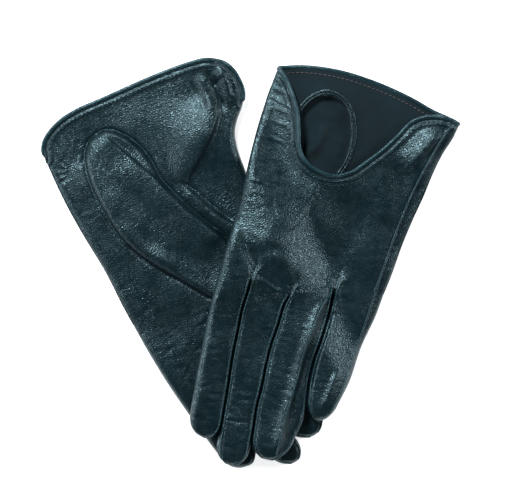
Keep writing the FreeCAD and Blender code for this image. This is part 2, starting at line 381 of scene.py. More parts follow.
def relief_left(x, y):
    """Folds and wrinkles of the back of the left glove."""
    z = waves(x, y, 46, 0.6, 3) + waves(x, y, 17, 0.16, 4)
    # The thumb's impression: a plateau with a steep lower edge.
    near = distance(x, y, thumb_line(LEFT))[0]
    z += 0.35 * (1 - smooth(5, 12, near))
    z += pleat(x, y, [(37, 70), (33, 54), (29, 42), (21, 34)], 1.2, 1.6, 9.0)
    z += fold(x, y, [(3, 19), (12, 22), (20, 26), (35, 32.5)], -0.7, 3.4, 0.3)
    z += fold(x, y, [(69, -24), (67, -36), (64.5, -50)], 1.2, 2.2, 0.25)
    z += pleat(x, y, [(94, 108), (85, 93), (77, 79)], 2.0, 2.4, 8.0)
    # Pinches between the fingers.
    for cx, cy, reach in ((13.5, 10.6, 12), (34.8, 6.5, 13), (56.9, 14.8, 14)):
        z += fold(x, y, [(cx + 1.5, cy + reach), (cx + 0.5, cy + 4), (cx, cy - 3)], -0.6, 1.1, 0.35)
        z += fold(x, y, [(cx - 5, cy + 5), (cx - 2.0, cy + 1.5), (cx - 1.6, cy - 8)], 0.7, 1.1, 0.3)
        z += fold(x, y, [(cx + 6, cy + 8), (cx + 2.6, cy + 3), (cx + 1.8, cy - 8)], 0.8, 1.2, 0.3)
    z += pleat(x, y, [(14.5, 10.9), (21.2, 9.4), (27.1, 6.6), (33, 7.2)], 1.1, 0.8, 4.0)
    z += pleat(x, y, [(35, 6.5), (44, 9.5), (56, 14.5)], 0.5, 0.8, 3.0)
    # The ring finger has rolled over, so the seam of its far side lies on top.
    z += pleat(x, y, RING_SEAM, 1.5, 1.2, 3.0, 0.1)
    roll = x - across_at(RING_SEAM)(y)
    z -= 1.7 * smooth(0, 4.5, roll) * (1 - smooth(7, 9, roll)) * (1 - smooth(-4, 4, y))
    z -= 0.55 * smooth(0, 0.9, x - across_at(SIDE_SEAM)(y))
    # Bend of the fold along the thumb's side, and fine creases there and over the fingers.
    for at, fall in ((109, 4), (104, 5), (99.5, 3), (93, 3), (83, 1), (72, 3), (60, 2)):
        z += fold(x, y, [(0.5, at), (8, at - 0.4 * fall), (17, at - fall)], 0.36, 1.1, 0.35)
    for area in WRINKLED["left"]:
        z += wrinkles(x, y, *area)
    # The cuff's right corner lifts, and a soft valley runs down beside the scoop.
    z += fold(x, y, [(74, 92), (80, 70), (78, 45)], -0.8, 7.0)
    z += fold(x, y, [(88, 104), (86, 84), (82, 60)], 0.7, 5.0)
    return z


def relief_right(x, y):
    """Folds and wrinkles of the palm of the right glove."""
    z = waves(x, y, 50, 0.7, 7) + waves(x, y, 19, 0.15, 8)
    z += 2.4 * np.exp(-(((x - 78) / 20) ** 2 + ((y - 84) / 16) ** 2))
    z += pleat(x, y, [(96, 100), (88, 87.5), (74, 77), (59, 68), (54, 64)], 3.0, 1.6, 13.0)
    z += pleat(x, y, [(52, 70), (58, 62), (62, 50), (68, 36), (74, 22)], 1.4, 1.2, 6.0)
    z += fold(x, y, [(57, 70), (60, 60), (64, 48), (70, 34)], -0.9, 1.3)
    # The corner that is turned over: a deep crease between two ridges, and two small pinches across it.
    z += fold(x, y, [(98.3, 112), (97.0, 102), (94.5, 88)], -2.4, 1.5, 0.25)
    z += fold(x, y, [(103, 111), (102.5, 101), (100, 90)], 1.8, 2.0, 0.25)
    z += fold(x, y, [(93, 113), (91, 101), (88, 90)], 1.3, 2.2, 0.25)
    z += fold(x, y, [(95, 104), (99, 103), (103, 105)], -0.9, 1.0, 0.3)
    z += fold(x, y, [(94, 108), (98, 107), (102, 109)], 0.7, 1.0, 0.3)
    # The palm sinks in along the thumb's outline, and short creases fan out above the thumb's base.
    outline = np.concatenate([smooth_path(e, 2.0)[:-8][::d] for e, d in zip(THUMB_EDGES["right"], (-1, 1))])
    z -= 0.7 * np.exp(-((distance(x, y, outline)[0] / 0.7) ** 2))
    for turn in range(-60, 100, 22):
        a = math.radians(turn + 90)
        z += fold(x, y, [(12 + 2 * math.cos(a), 101 + 2 * math.sin(a)),
                         (12 + 12 * math.cos(a), 101 + 12 * math.sin(a))], -0.3, 0.8, 0.3)
    for area in WRINKLED["right"]:
        z += wrinkles(x, y, *area)
    other_x, other_y = LEFT.from_table(*RIGHT.to_table(x, y))
    covered = smooth(-1, 8, other_x - LEFT.left_edge(other_y))
    return z * (1 - 0.75 * covered)


def hem(near):
    """Relief of a bound edge by distance from it: a groove behind the binding, then a low stitched fold."""
    groove = -0.5 * np.exp(-(((near - 1.9) / 0.45) ** 2))
    return groove + 0.35 * (smooth(2.1, 2.6, near) - smooth(4.2, 5.0, near))


def relief(glove, x, y):
    return relief_left(x, y) if glove is LEFT else relief_right(x, y)


def rounded(away, radius):
    """Quarter-circle rounding: 0 at an edge, 1 from the radius inwards."""
    return np.sqrt(np.clip(1 - (1 - np.clip(away / radius, 0, 1)) ** 2, 0, 1))


def upper(glove, x, y, swell, thick):
    """Height of the upper layer, where swell is 0 at a folded edge and 1 well inside it."""
    height = thick * (EDGE_SHARE + (1 - EDGE_SHARE) * swell)
    return lay(glove, x, y) + height + relief(glove, x, y) * (0.3 + 0.7 * swell)


def lower(glove, x, y, swell, thick):
    """Height of the lower layer: it rises from what it lies on towards a folded edge."""
    return lay(glove, x, y) + thick * EDGE_SHARE * (1 - swell)


def hand_swell(glove, x, y):
    """How far the hand is blown up: 0 at its side edges, 1 well inside them."""
    from_fold, from_seam = x - glove.left_edge(y), glove.right_edge(y) - x
    return rounded(from_fold, EDGE_ROUND) * rounded(from_seam, EDGE_ROUND)


def hand_top(glove, x, y):
    """Height of the upper layer of the hand, at any point of it."""
    return upper(glove, x, y, hand_swell(glove, x, y), hand_thick(glove, x, y))


def hand_thick(glove, x, y):
    """How far apart the two layers of the hand lie."""
    thick = FINGER_THICK + (HAND_THICK - FINGER_THICK) * smooth(FINGER_ROOT, 50, y)
    if glove is RIGHT:
        return thick - 2.2 * smooth(70, 118, y) * (1 - smooth(30, 80, x))
    return thick - 1.2 * smooth(96, 116, y)


# ---------------------------------------------------------------- meshes


def new_mesh(name, vertices, faces, materials, kinds=None, body=None):
    """One object from arrays of points (metres) and faces, smooth shaded."""
    mesh = bpy.data.meshes.new(name)
    mesh.from_pydata(np.asarray(vertices).reshape(-1, 3).tolist(), [], faces)
    for m in materials:
        mesh.materials.append(m)
    if kinds is not None:
        mesh.polygons.foreach_set("material_index", np.asarray(kinds, np.int32))
    mesh.polygons.foreach_set("use_smooth", np.ones(len(mesh.polygons), bool))
    mesh.validate()
    mesh.update()
    made = bpy.data.objects.new(name, mesh)
    bpy.context.scene.collection.objects.link(made)
    if body is not None:
        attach(made, body)
    return made


def soft_shell(piece, thickness, rim=True):
    """Gives a leather surface its thickness inwards, with suede as its inner side."""
    shell = piece.modifiers.new("leather thickness", "SOLIDIFY")
    shell.thickness = thickness * MM
    shell.offset = -1
    shell.material_offset = 1
    shell.use_rim = rim


def grid_faces(rows, columns, wrap=False, start=0):
    """Quads over a grid of points, closed across its columns if wrap is set."""
    i, j = np.meshgrid(np.arange(rows - 1), np.arange(columns if wrap else columns - 1), indexing="ij")
    k = (j + 1) % columns
    return np.stack([i * columns + j, i * columns + k, (i + 1) * columns + k, (i + 1) * columns + j],
                    axis=-1).reshape(-1, 4) + start


def tube(path, radius, sides=8, flat=1.0, closed=False):
    """Points and faces of a tube along a path in metres; flat squeezes it in height, with rounded ends."""
    p = np.asarray(path, float)
    ahead = np.roll(p, -1, axis=0) - np.roll(p, 1, axis=0)
    if not closed:
        ahead[0], ahead[-1] = p[1] - p[0], p[-1] - p[-2]
    ahead /= np.linalg.norm(ahead, axis=1)[:, None]
    side = np.cross(ahead, [0, 0, 1.0])
    side /= np.maximum(np.linalg.norm(side, axis=1), 1e-9)[:, None]
    up = np.cross(side, ahead)
    turn = np.linspace(0, 2 * math.pi, sides, endpoint=False)
    thick = np.broadcast_to(np.asarray(radius, float), (len(p),)).copy()
    if not closed:
        thick[[0, -1]] *= 0.35
    ring = side[:, None] * np.cos(turn)[:, None] + up[:, None] * flat * np.sin(turn)[:, None]
    points = p[:, None] + ring * thick[:, None, None]
    faces = grid_faces(len(p), sides, wrap=True)
    if closed:
        last = (len(p) - 1) * sides + np.arange(sides)
        faces = np.concatenate([faces, np.stack([last, np.roll(last, -1), np.roll(np.arange(sides), -1),
                                                 np.arange(sides)], axis=-1)])
        return points.reshape(-1, 3), faces.tolist()
    caps = [list(range(sides))[::-1], [(len(p) - 1) * sides + i for i in range(sides)]]
    return points.reshape(-1, 3), faces.tolist() + caps


class Heap:
    """Gathers the points and faces of several shapes into one mesh."""

    def __init__(self):
        self.points, self.faces, self.kinds, self.count = [], [], [], 0

    def add(self, points, faces, kind=0):
        points = np.asarray(points, float).reshape(-1, 3)
        self.points.append(points)
        self.faces += [[i + self.count for i in f] for f in faces]
        self.kinds += [kind] * len(faces)
        self.count += len(points)

    def build(self, name, materials, body=None):
        return new_mesh(name, np.concatenate(self.points), self.faces, materials, self.kinds, body)


def stitch(heap, centre, along, up, length, width, kind=0):
    """One stitch: a short rounded bar from hole to hole that arches over the leather."""
    t = np.linspace(-1, 1, 5)
    arch = (1 - t**2) * width * 0.8
    path = centre + along * (t * length / 2)[:, None] + up * arch[:, None]
    points, faces = tube(path, width / 2, 5)
    heap.add(points, faces, kind)


# ---------------------------------------------------------------- materials


def shader(name, colour, roughness):
    """A new material with a Principled shader: (material, nodes, links, shader, object coordinates)."""
    made = bpy.data.materials.new(name)
    made.use_nodes = True
    nodes, links = made.node_tree.nodes, made.node_tree.links
    main = nodes["Principled BSDF"]
    main.inputs["Base Color"].default_value = (*colour, 1)
    main.inputs["Roughness"].default_value = roughness
    place = nodes.new("ShaderNodeTexCoord")
    return made, nodes, links, main, place.outputs["Object"]


def texture(nodes, links, place, kind, scale, stretch=(1, 1, 1), turn=0.0, **values):
    """A texture node in object coordinates, stretched and turned about the vertical."""
    mapping = nodes.new("ShaderNodeMapping")
    mapping.vector_type = "TEXTURE"
    mapping.inputs["Scale"].default_value = tuple(1 / s for s in stretch)
    mapping.inputs["Rotation"].default_value = (0, 0, math.radians(turn))
    links.new(place, mapping.inputs["Vector"])
    node = nodes.new(f"ShaderNodeTex{kind}")
    node.inputs["Scale"].default_value = scale
    for key, value in values.items():
        if key in node.inputs:
            node.inputs[key].default_value = value
        else:
            setattr(node, key.lower(), value)
    links.new(mapping.outputs["Vector"], node.inputs["Vector"])
    return node


def remap(nodes, links, value, low, high, to_low, to_high):
    """The value, carried in a straight line from one range to another and held at its ends."""
    node = nodes.new("ShaderNodeMapRange")
    for key, number in (("From Min", low), ("From Max", high), ("To Min", to_low), ("To Max", to_high)):
        node.inputs[key].default_value = number
    links.new(value, node.inputs["Value"])
    return node.outputs["Result"]


def mixed(nodes, links, share, first, second):
    """A colour between two others, by share."""
    node = nodes.new("ShaderNodeMix")
    node.data_type = "RGBA"
    node.inputs["A"].default_value = (*first, 1)
    node.inputs["B"].default_value = (*second, 1)
    links.new(share, node.inputs["Factor"])
    return node.outputs["Result"]


def bumped(nodes, links, main, layers):
    """Adds bump layers, as (height output, strength, distance in metres), one on top of the other."""
    normal = None
    for height, strength, deep in layers:
        bump = nodes.new("ShaderNodeBump")
        bump.inputs["Strength"].default_value = strength
        bump.inputs["Distance"].default_value = deep
        links.new(height, bump.inputs["Height"])
        if normal is not None:
            links.new(normal, bump.inputs["Normal"])
        normal = bump.outputs["Normal"]
    links.new(normal, main.inputs["Normal"])


def leather(name, settings, lighter=1.0, turn=0.0):
    """Smooth glove leather: fine pores, hair-thin creases across the grain, and an uneven soft gloss; darker
    or lighter copies carry painted shade or painted highlight.
    """
    # lighter scales the whole colour: for the fourchette copy it is painted shade, for the binding copy a
    # painted highlight
    deep = tuple(c * lighter for c in settings.colour)
    bright = tuple(c * 1.55 for c in deep)
    made, nodes, links, main, place = shader(name, deep, settings.gloss)
    patches = texture(nodes, links, place, "Noise", 55, Detail=5.0, Roughness=0.6)
    share = remap(nodes, links, patches.outputs["Fac"], 0.32, 0.7, 0, 1)
    links.new(mixed(nodes, links, share, deep, bright), main.inputs["Base Color"])
    mottle = texture(nodes, links, place, "Noise", 240, Detail=4.0, Roughness=0.65)
    rough = remap(nodes, links, mottle.outputs["Fac"], 0.3, 0.7, settings.gloss - 0.07, settings.gloss + 0.1)
    links.new(rough, main.inputs["Roughness"])
    main.inputs["Specular IOR Level"].default_value = 0.6
    main.inputs["Specular Tint"].default_value = (0.66, 0.93, 1.0, 1)
    grain = texture(nodes, links, place, "Voronoi", 950, feature="DISTANCE_TO_EDGE")
    shift = texture(nodes, links, place, "Noise", 260, Detail=3.0)
    wander = nodes.new("ShaderNodeMixRGB")
    wander.blend_type = "ADD"
    wander.inputs["Fac"].default_value = 0.003
    links.new(place, wander.inputs["Color1"])
    links.new(shift.outputs["Color"], wander.inputs["Color2"])
    crackle = texture(nodes, links, wander.outputs["Color"], "Voronoi", 480, (0.6, 1.3, 1), turn,
                      feature="DISTANCE_TO_EDGE")
    lines = remap(nodes, links, crackle.outputs["Distance"], 0.0, 0.28, 1, 0)
    patchy = texture(nodes, links, place, "Noise", 75, Detail=2.0)
    creased = remap(nodes, links, patchy.outputs["Fac"], 0.5, 0.78, 0, -1)
    crackled = nodes.new("ShaderNodeMath")
    crackled.operation = "MULTIPLY_ADD"
    crackled.inputs[2].default_value = 1
    links.new(lines, crackled.inputs[0])
    links.new(creased, crackled.inputs[1])
    creases = texture(nodes, links, place, "Noise", 460, (0.35, 1.2, 1), turn,
                      Detail=3.0, Roughness=0.55, Distortion=0.8)
    crumple = texture(nodes, links, place, "Noise", 120, (0.6, 1, 1), turn, Detail=3.0, Roughness=0.5)
    pores = remap(nodes, links, grain.outputs["Distance"], 0.0, 0.4, 0, 1)
    bumped(nodes, links, main, [
        (crumple.outputs["Fac"], 0.1, 0.0006),
        (crackled.outputs["Value"], 0.5, 0.00020),
        (creases.outputs["Fac"], 0.3, 0.0003),
        (pores, 0.65, 0.00014),
    ])
    return made


def suede(name, settings):
    """The raw inside of the leather: matt, with a short uneven nap."""
    made, nodes, links, main, place = shader(name, settings.inside, 0.9)
    nap = texture(nodes, links, place, "Noise", 900, Detail=6.0, Roughness=0.75)
    cloud = texture(nodes, links, place, "Noise", 45, Detail=3.0, Roughness=0.6)
    share = remap(nodes, links, cloud.outputs["Fac"], 0.3, 0.7, 0, 1)
    darker = tuple(c * 0.55 for c in settings.inside)
    links.new(mixed(nodes, links, share, darker, tuple(settings.inside)), main.inputs["Base Color"])
    main.inputs["Sheen Weight"].default_value = 0.1
    main.inputs["Sheen Roughness"].default_value = 0.5
    main.inputs["Specular IOR Level"].default_value = 0.2
    bumped(nodes, links, main, [(cloud.outputs["Fac"], 0.3, 0.001), (nap.outputs["Fac"], 0.6, 0.0002)])
    return made


def thread(name, colour):
    """Sewing thread: two twisted plies."""
    made, nodes, links, main, place = shader(name, colour, 0.55)
    plies = texture(nodes, links, place, "Wave", 900, turn=45, Distortion=0.4)
    bumped(nodes, links, main, [(plies.outputs["Fac"], 0.5, 0.0001)])
    main.inputs["Sheen Weight"].default_value = 0.2
    return made


def plain(name, colour):
    """The table: an even pale surface with the faintest mottling."""
    made, nodes, links, main, place = shader(name, colour, 0.85)
    main.inputs["Emission Color"].default_value = (1, 1, 1, 1)
    main.inputs["Emission Strength"].default_value = 0.75
    cloud = texture(nodes, links, place, "Noise", 8, Detail=2.0)
    share = remap(nodes, links, cloud.outputs["Fac"], 0.3, 0.7, 0, 1)
    shaded = tuple(c * 0.985 for c in colour)
    links.new(mixed(nodes, links, share, colour, shaded), main.inputs["Base Color"])
    return made


def material(key):
    """The scene's material of that name, made on first use."""
    name = f"glove_{key}"
    if name in bpy.data.materials:
        return bpy.data.materials[name]
    settings = bpy.context.scene.glove_leather
    makers = {
        "left_leather": lambda: leather(name, settings, 1.0, -13),
        "right_leather": lambda: leather(name, settings, 0.95, 31),
        # The fourchettes and the thumb-hole welt get a darker copy of the leather: painted shade for the
        # side walls down between the fingers and round the hole
        "fourchette": lambda: leather(name, settings, 0.7),
        # The binding and the raised seam ridges get a much lighter copy of the leather: a painted highlight
        # along their rounded tops
        "binding": lambda: leather(name, settings, 2.2),
        "suede": lambda: suede(name, settings),
        "thread": lambda: thread(name, tuple(c * 5 for c in settings.colour)),
        "hem_thread": lambda: thread(name, tuple(settings.hem_thread)),
        "table": lambda: plain(name, (0.93, 0.93, 0.93)),
    }
    return makers[key]()


# ---------------------------------------------------------------- the trank's hand


def cuff_reach(glove, layer):
    """The cuff edge of a layer, as y by the share of the way across: 0 at the fold, 1 at the seam."""
    path = smooth_path(glove.cuff(layer), 0.5)
    x, y = path.T
    share = (x - glove.left_edge(y)) / (glove.right_edge(y) - glove.left_edge(y))
    order = np.argsort(share)
    return lambda s: np.interp(s, share[order], y[order])


def across_shares(count):
    """Shares of the way across, closer together near both edges."""
    t = np.linspace(0, 1, count)
    return 0.5 - 0.5 * np.cos(math.pi * t) * (0.55 + 0.45 * np.abs(np.cos(math.pi * t)))


def layer_grid(glove, layer, rows, columns):
    """(x, y) of a grid over one layer of the hand, from the finger roots to the cuff."""
    share = across_shares(columns)[None, :]
    reach = cuff_reach(glove, layer)(share)
    rise = np.linspace(0, 1, rows)[:, None] ** 0.9
    y = FINGER_ROOT + (reach - FINGER_ROOT) * rise
    x = glove.left_edge(y) + share * (glove.right_edge(y) - glove.left_edge(y))
    return x, y


def curl(glove, x, y):
    """How much the cuff's outer corner lifts off the table."""
    if glove is RIGHT:
        return 3.2 * smooth(84, 104, x) * smooth(84, 106, y)
    return 1.6 * smooth(80, 102, x) * smooth(90, 112, y)


def in_thumb_hole(x, y, grow=0.0):
    """Which points lie inside the oval, made bigger by grow."""
    cx, cy, wide, long = THUMB_HOLE
    return ((x - cx) / (wide + grow)) ** 2 + ((y - cy) / (long + grow)) ** 2 < 1


def hand_layers(glove, rows=150, columns=130):
    """The grids of both layers of a hand, as ((x, y, z) of the upper one, (x, y, z) of the lower one)."""
    made = []
    for layer in (("palm", "back") if glove.palm_up else ("back", "palm")):
        x, y = layer_grid(glove, layer, rows, columns)
        swell = hand_swell(glove, x, y)
        thick = hand_thick(glove, x, y)
        if made:
            z = lower(glove, x, y, swell, thick)
        else:
            near = distance(x, y, smooth_path(glove.hem_line(layer), 1.0))[0]
            z = upper(glove, x, y, swell, thick) + hem(near)
            z -= 0.3 * np.exp(-(((glove.right_edge(y) - x - 6.2) / 0.7) ** 2)) * (glove is LEFT)
        made.append((x, y, z + curl(glove, x, y)))
    return made


def build_hand(glove):
    """One sleeve of two layers, joined at the fold and the seam, with the thumb hole cut in the palm."""
    over, under = hand_layers(glove)
    x, y, z = (np.concatenate([a, b[:, ::-1]], axis=1) for a, b in zip(over, under))
    rows, columns = x.shape
    faces = grid_faces(rows, columns, wrap=True)
    middle_x, middle_y = (a.reshape(-1)[faces].mean(axis=1) for a in (x, y))
    on_top = (faces % columns < columns // 2).all(axis=1)
    palm = on_top if glove.palm_up else ~on_top
    keep = ~(palm & in_thumb_hole(middle_x, middle_y, 0.5))
    made = new_mesh(f"{glove.side}_hand_leather", glove.points(x, y, z), faces[keep].tolist(),
                    [material(f"{glove.side}_leather"), material("suede")], body=f"{glove.side}_hand")
    soft_shell(made, LEATHER_THICK, rim=False)
    gussets = [f"{glove.side}_{pair}_gusset" for pair in ("index_middle", "middle_ring", "ring_little")]
    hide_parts(f"{glove.side}_trank_hand", *gussets)
    return made


# ---------------------------------------------------------------- fingers


def finger_outline(glove, name, y):
    """(how far the tip has closed, the two edges' x, where each side's slit ends) at y along a finger."""
    edges, _, tip, round_tip = FINGERS[name]
    low, high = glove.finger_edges(name)
    past = np.clip((tip + round_tip - y) / round_tip, 0, 1)
    closing = np.sqrt(np.clip(1 - past**2.2, 0, 1))
    middle, half = (low(y) + high(y)) / 2, (high(y) - low(y)) / 2 * closing
    return closing, (middle - half, middle + half), [SLITS[glove.side].get(edge) for edge in edges]


def finger_shape(glove, name, rows=150, columns=44):
    """A grid over a finger, from its root to its round tip: (x, y, closing, edges, slits)."""
    t = np.linspace(0, 1, rows)[:, None]
    y = FINGER_ROOT + (FINGERS[name][2] - FINGER_ROOT) * (0.75 * t + 0.25 * np.sin(t * math.pi / 2))
    closing, (low, high), slits = finger_outline(glove, name, y)
    gaps = [0.0 if end is None else 0.12 * (1 - smooth(end - 5, end, y)) for end in slits]
    left, right = low + gaps[0] * closing, high - gaps[1] * closing
    x = left + (right - left) * across_shares(columns)[None, :]
    return x, y + np.zeros_like(x), closing, (low, high), slits


def finger_swell(x, y, closing, edges, slits):
    """How far each point is blown up: low at the sewn edges and the tip, 1 along the middle."""
    swell = np.ones_like(x)
    for edge, end, sign in ((edges[0], slits[0], 1), (edges[1], slits[1], -1)):
        is_open = end is not None
        slit = 1 - smooth(end - 9, end + 1.5, y) if is_open else 1.0
        least = 0.06 if is_open else 0.0
        side = least + (1 - least) * rounded(sign * (x - edge), SEAM_ROUND if is_open else EDGE_ROUND)
        swell *= 1 - slit * (1 - side)
    tip = rounded(closing * 8.0, 8.0)
    return swell * (0.12 + 0.88 * tip)


def build_finger(glove, name):
    """The finger's back and palm strips, joined over the tip and at a folded or plain-sewn side."""
    x, y, closing, edges, slits = finger_shape(glove, name)
    swell = finger_swell(x, y, closing, edges, slits)
    top = upper(glove, x, y, swell, FINGER_THICK)
    bottom = lower(glove, x, y, swell, FINGER_THICK)
    rows, columns = x.shape
    points = np.concatenate([glove.points(x, y, z).reshape(-1, 3) for z in (top, bottom)])
    upper_faces = grid_faces(rows, columns)[:, ::-1]
    lower_faces = grid_faces(rows, columns, start=rows * columns)
    faces = [upper_faces, lower_faces]
    for column, slit in ((0, slits[0]), (columns - 1, slits[1])):
        if slit is None:
            i = np.arange(rows - 1) * columns + column
            side = np.stack([i, i + columns, i + columns + rows * columns, i + rows * columns], axis=-1)
            faces.append(side if column else side[:, ::-1])
    j = np.arange(columns - 1) + (rows - 1) * columns
    faces.append(np.stack([j, j + 1, j + 1 + rows * columns, j + rows * columns], axis=-1))
    made = new_mesh(f"{glove.side}_{name}_finger_leather", points, np.concatenate(faces).tolist(),
                    [material(f"{glove.side}_leather")])
    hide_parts(f"{glove.side}_{name}_finger")
    bend(made, glove, name)
    return made


def bend(piece, glove, name):
    """Bakes the piece's placement into its mesh; the two ends of the knuckle line between the hand and the
    finger are worked out, but nothing uses them.
    """
    x = float(sum(e(KNUCKLE) for e in glove.finger_edges(name)) / 2)
    start, end = glove.points([x, x], [13.0, -9.0], 0.0)
    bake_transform(piece)


def finger_side(glove, name, side, inside=0.0):
    """(x, y, top, bottom) of the lines along one side of a finger, below its slit, or a little inside."""
    x, y, closing, edges, slits = finger_shape(glove, name)
    thumb_side = side == "thumb"
    column = 0 if thumb_side else -1
    x = x[:, [column]] + inside * (1 if thumb_side else -1) * closing
    y = y[:, [column]]
    swell = finger_swell(x, y, closing, edges, slits)
    keep = y[:, 0] < slits[0 if thumb_side else 1] - 0.5
    x, y, swell = x[keep, 0], y[keep, 0], swell[keep, 0]
    return x, y, upper(glove, x, y, swell, FINGER_THICK), lower(glove, x, y, swell, FINGER_THICK)


def build_fourchette(glove, name, side):
    """The strip between a finger's back and palm: a grid whose middle bows sideways by half a sine wave."""
    x, y, top, bottom = finger_side(glove, name, side)
    share = np.linspace(0, 1, 9)[None, :]
    inward = -(0.8 if side == "thumb" else 1.0) * np.sin(share * math.pi)
    z = bottom[:, None] + (top - bottom)[:, None] * share
    rows = len(y)
    points = glove.points(x[:, None] + inward, y[:, None] + 0 * share, z)
    # Its leather is the darker fourchette copy: painted shade down the side walls between the fingers
    made = new_mesh(f"{glove.side}_{name}_fourchette_leather_{side}_side", points,
                    grid_faces(rows, 9).tolist(), [material("fourchette")])
    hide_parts(f"{glove.side}_{name}_fourchette_{side}_side")
    bend(made, glove, name)
    return made


def build_finger_seams(glove, name):
    """Raised seams where the strips meet the fourchettes, top and bottom."""
    heap = Heap()
    for side, is_open in zip(("thumb", "little"), FINGERS[name][1]):
        if not is_open:
            continue
        x, y, top, bottom = finger_side(glove, name, side, 1.1)
        for z, lift in ((top, 0.25), (bottom, 0.05)):
            add_seam(heap, glove.points(x, y, z + lift))
    if name == "ring" and not glove.palm_up:
        x, y = smooth_path(RING_SEAM, 1.0)[3:].T
        add_seam(heap, glove.points(x, y, finger_top(glove, name, x, y) + 0.2))
    # The seam ridges use the lighter binding leather: painted highlight
    made = heap.build(f"{glove.side}_{name}_finger_seams", [material("binding"), material("thread")])
    bend(made, glove, name)
    return made


def add_seam(heap, path, flat=0.8, stitch_width=0.34):
    """A raised seam along a path in metres, with one small stitch after another lying across it."""
    settings = bpy.context.scene.glove_sewing
    # The ridge tube takes the heap's first material, the lighter binding leather: a painted highlight along
    # the seam
    heap.add(*tube(path, settings.ridge * MM / 2, 7, flat))
    add_stitches(heap, path, settings.pitch * MM, 0.9 * MM, stitch_width * MM, crosswise=True)


def add_stitches(heap, path, pitch, length, width, crosswise=False, kind=1):
    """Stitches every pitch along a path in metres, lying along it or across it."""
    gone = along_path(path)
    at = np.arange(pitch / 2, gone[-1], pitch)
    centre = np.stack([np.interp(at, gone, path[:, k]) for k in range(3)], axis=1)
    ahead = np.stack([np.interp(at + pitch / 3, gone, path[:, k]) for k in range(3)], axis=1) - centre
    up = np.array([0, 0, 1.0])
    for c, a in zip(centre, ahead):
        size = np.linalg.norm(a)
        if size < 1e-6:
            continue
        a = a / size
        along = np.cross(a, up) * 0.85 + a * 0.5 if crosswise else a
        stitch(heap, c + up * (0.42 * MM if crosswise else 0.1 * MM), along / np.linalg.norm(along), up,
               length, width, kind)


# ---------------------------------------------------------------- thumbs


def thumb_grid(glove, rows=130, columns=60):
    """(x, y, distance from the outline) of a grid over the thumb, from the top of its base to its tip."""
    low, high = THUMB_EDGES[glove.side]
    at = np.linspace(0, 1, rows)
    edges = []
    for points in (low, high):
        gone = np.linspace(0, 1, len(points))
        edges.append([through(list(zip(gone, [p[k] for p in points])))(at)[:, None] for k in (0, 1)])
    share = across_shares(columns)[None, :]
    x, y = (a + (b - a) * share for a, b in zip(*edges))
    outline = np.concatenate([smooth_path(low, 1.5), smooth_path(high, 1.5)[::-1]])
    outline = np.concatenate([outline, outline[:1]])
    return x, y, distance(x, y, outline)[0]


def thumb_relief(x, y):
    """The pressed fold down the right thumb, its dark hollow beside it, and fine creases."""
    z = pleat(x, y, [(32.6, 112), (38.5, 95), (44.6, 77.3), (52, 55), (60, 31)], 1.4, 1.3, 12.0, 0.08)
    z += fold(x, y, [(17, 70), (20, 54), (27, 40), (36, 27)], 0.9, 3.2)
    z += fold(x, y, [(28, 90), (30, 70), (36, 52)], -0.5, 5.0)
    z += waves(x, y, 22, 0.25, 31) + wrinkles(x, y, (14, 20, 60, 112), 20, 8, 25, 45, 0.14, 32)
    return z


def crumple(x, y):
    """The inside of the left thumb, seen through the thumb hole: soft folds in the suede."""
    z = waves(x, y, 16, 0.7, 41) + waves(x, y, 8, 0.25, 42)
    z += fold(x, y, [(26, 76), (31, 86), (33, 97)], 2.0, 2.4)
    z += fold(x, y, [(36, 70), (38, 82), (36, 92)], -1.4, 2.6)
    return z


def swing(piece, glove):
    """Bakes the piece's placement into its mesh; the two ends of the line between the hand and the thumb are
    worked out, but nothing uses them.
    """
    start, end = glove.points([32.5, 32.5], [94.0, 50.0], 0.0)
    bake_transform(piece)


def build_thumb(glove):
    """A soft flattened tube from the oval in the palm to the tip; it is open into the hand."""
    x, y, near = thumb_grid(glove)
    swell = rounded(near, 3.2)
    if glove.palm_up:
        bottom = hand_top(glove, x, y) + 0.25 - 0.5 * (1 - swell)
        top = bottom + THUMB_THICK * (0.75 * swell + 0.25 * swell**3) + thumb_relief(x, y) * swell
    else:
        top = lay(glove, x, y) - 0.35
        bottom = np.maximum(top - 3.7 * swell, LOW)
    rows, columns = x.shape
    points = np.concatenate([glove.points(x, y, z).reshape(-1, 3) for z in (top, bottom)])
    upper_faces = grid_faces(rows, columns)[:, ::-1]
    lower_faces = grid_faces(rows, columns, start=rows * columns)
    mouth = lower_faces if glove.palm_up else upper_faces
    flat_x, flat_y = (np.concatenate([a.reshape(-1)] * 2) for a in (x, y))
    inside = in_thumb_hole(flat_x[mouth].mean(axis=1), flat_y[mouth].mean(axis=1))
    kept = mouth[~inside]
    walls = upper_faces if glove.palm_up else lower_faces
    made = new_mesh(f"{glove.side}_thumb_leather", points, np.concatenate([kept, walls]).tolist(),
                    [material(f"{glove.side}_leather"), material("suede")])
    swing(made, glove)
    soft_shell(made, THUMB_LEATHER_THICK)
    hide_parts(f"{glove.side}_thumb")
    return made


def build_thumb_lining(glove):
    """The thumb's crumpled inside, just past the thumb hole, where the scoop in the back shows it."""
    x, y, near = thumb_grid(glove, 90, 44)
    rows_seen = 62
    x, y, near = (a[:rows_seen] for a in (x, y, near))
    folds = np.clip(crumple(x, y), -0.6, 2.4) * rounded(near, 6)
    z = np.maximum(lay(glove, x, y) - 1.0 - 2.0 * rounded(near, 7.5) + folds, LOW + 0.6)
    made = new_mesh(f"{glove.side}_thumb_inside", glove.points(x, y, z), grid_faces(*x.shape).tolist(),
                    [material("suede")])
    swing(made, glove)
    return made


def oval_path(grow=0.0, count=120):
    """Points round the thumb hole, made bigger by grow."""
    cx, cy, wide, long = THUMB_HOLE
    turn = np.linspace(0, 2 * math.pi, count, endpoint=False)
    return cx + (wide + grow) * np.cos(turn), cy + (long + grow) * np.sin(turn)


def lower_inside(glove, x, y):
    """Height of the inner face of the lower layer of the hand."""
    under = lower(glove, x, y, hand_swell(glove, x, y), hand_thick(glove, x, y))
    return under + LEATHER_THICK + curl(glove, x, y)


